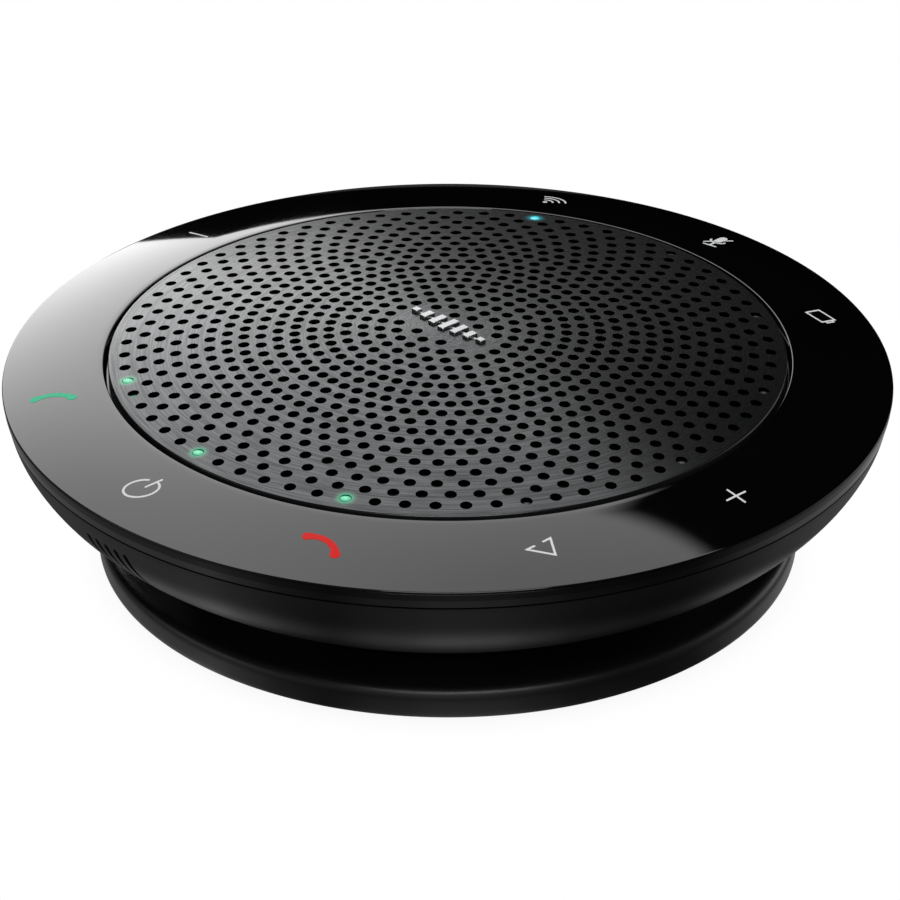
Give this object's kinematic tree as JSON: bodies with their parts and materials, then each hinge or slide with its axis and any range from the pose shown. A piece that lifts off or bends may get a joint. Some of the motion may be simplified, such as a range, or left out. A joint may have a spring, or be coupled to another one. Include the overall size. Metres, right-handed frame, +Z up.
{
  "type": "conference speakerphone",
  "caption": "Round table speakerphone: domed perforated grille, gloss touch ring with status lights, bowl casing and a cord-wrap groove above a rubber-footed base.",
  "frame": {"origin": "middle of the foot ring's flat underside, which is the bottom centre of the whole object", "axes": "+Z up, +X towards the plus sign on the touch ring, the microphone slots and the power sign face -Y"},
  "size_m": [0.12, 0.12, 0.0324],
  "materials": {
    "grille_metal": "spun and perforated, dark grey",
    "bright_metal": "polished",
    "acoustic_cloth": "fine woven mesh",
    "gloss_black": "polished",
    "satin_black": "fine spark-eroded grain",
    "soft_rubber": "matt",
    "grey_foam": "closed-cell foam",
    "clear_plastic": "clear, polished end",
    "circuit_board": "solder mask",
    "electrode_film": "polyimide film",
    "winding_paper": "polyimide film",
    "chip_black": "moulded epoxy",
    "tin_plate": "tinned",
    "zinc_steel": "zinc plated",
    "nickel_magnet": "nickel plated",
    "copper_wire": "enamelled winding",
    "cone_paper": "pressed paper",
    "spider_weave": "resin-dipped cotton",
    "cell_wrap": "shrink sleeve",
    "lead_sheath": "insulated wire",
    "connector_ivory": "moulded nylon"
  },
  "bodies": {
    "housing": {"speaker_grille": "grille_metal", "grille_emblem": "bright_metal", "acoustic_mesh": "acoustic_cloth", "touch_ring": "gloss_black", "upper_frame": "satin_black", "lower_casing": "satin_black", "spool_hub": "satin_black", "base_disc": "satin_black", "foot_ring": "soft_rubber", "lead_gland": "soft_rubber", "microphone_boot": "soft_rubber", "cone_surround": "soft_rubber", "speaker_gasket": "grey_foam", "battery_pad": "grey_foam", "light_guide_01": "clear_plastic", "light_guide_02": "clear_plastic", "light_guide_03": "clear_plastic", "light_guide_04": "clear_plastic", "light_guide_05": "clear_plastic", "light_guide_06": "clear_plastic", "light_guide_07": "clear_plastic", "light_guide_08": "clear_plastic", "light_guide_09": "clear_plastic", "light_guide_10": "clear_plastic", "light_guide_11": "clear_plastic", "light_guide_12": "clear_plastic", "main_board": "circuit_board", "light_board": "circuit_board", "microphone_board": "circuit_board", "touch_film": "electrode_film", "processor_chip": "chip_black", "touch_connector": "chip_black", "radio_shield": "tin_plate", "microphone_capsule": "tin_plate", "speaker_basket": "zinc_steel", "magnet_yoke": "zinc_steel", "pole_plate": "zinc_steel", "case_screw_01": "zinc_steel", "case_screw_02": "zinc_steel", "case_screw_03": "zinc_steel", "case_screw_04": "zinc_steel", "speaker_screw_01": "zinc_steel", "speaker_screw_02": "zinc_steel", "speaker_screw_03": "zinc_steel", "speaker_screw_04": "zinc_steel", "board_screw_01": "zinc_steel", "board_screw_02": "zinc_steel", "board_screw_03": "zinc_steel", "magnet_disc": "nickel_magnet", "cone_spider": "spider_weave", "battery_cell": "cell_wrap", "battery_lead": "lead_sheath", "speaker_lead": "lead_sheath", "battery_connector": "connector_ivory", "lead_connector": "connector_ivory", "speaker_connector": "connector_ivory"},
    "cone_assembly": {"speaker_cone": "cone_paper", "dust_cap": "cone_paper", "coil_former": "winding_paper", "voice_coil": "copper_wire"}
  },
  "joints": [
    {"name": "cone_travel", "type": "slide", "parent": "housing", "child": "cone_assembly", "axis": [0, 0, 1], "range_m": [-0.0012, 0.0012], "stiffness_N_per_m": 800, "deforming": ["cone_surround", "cone_spider"]}
  ]
}
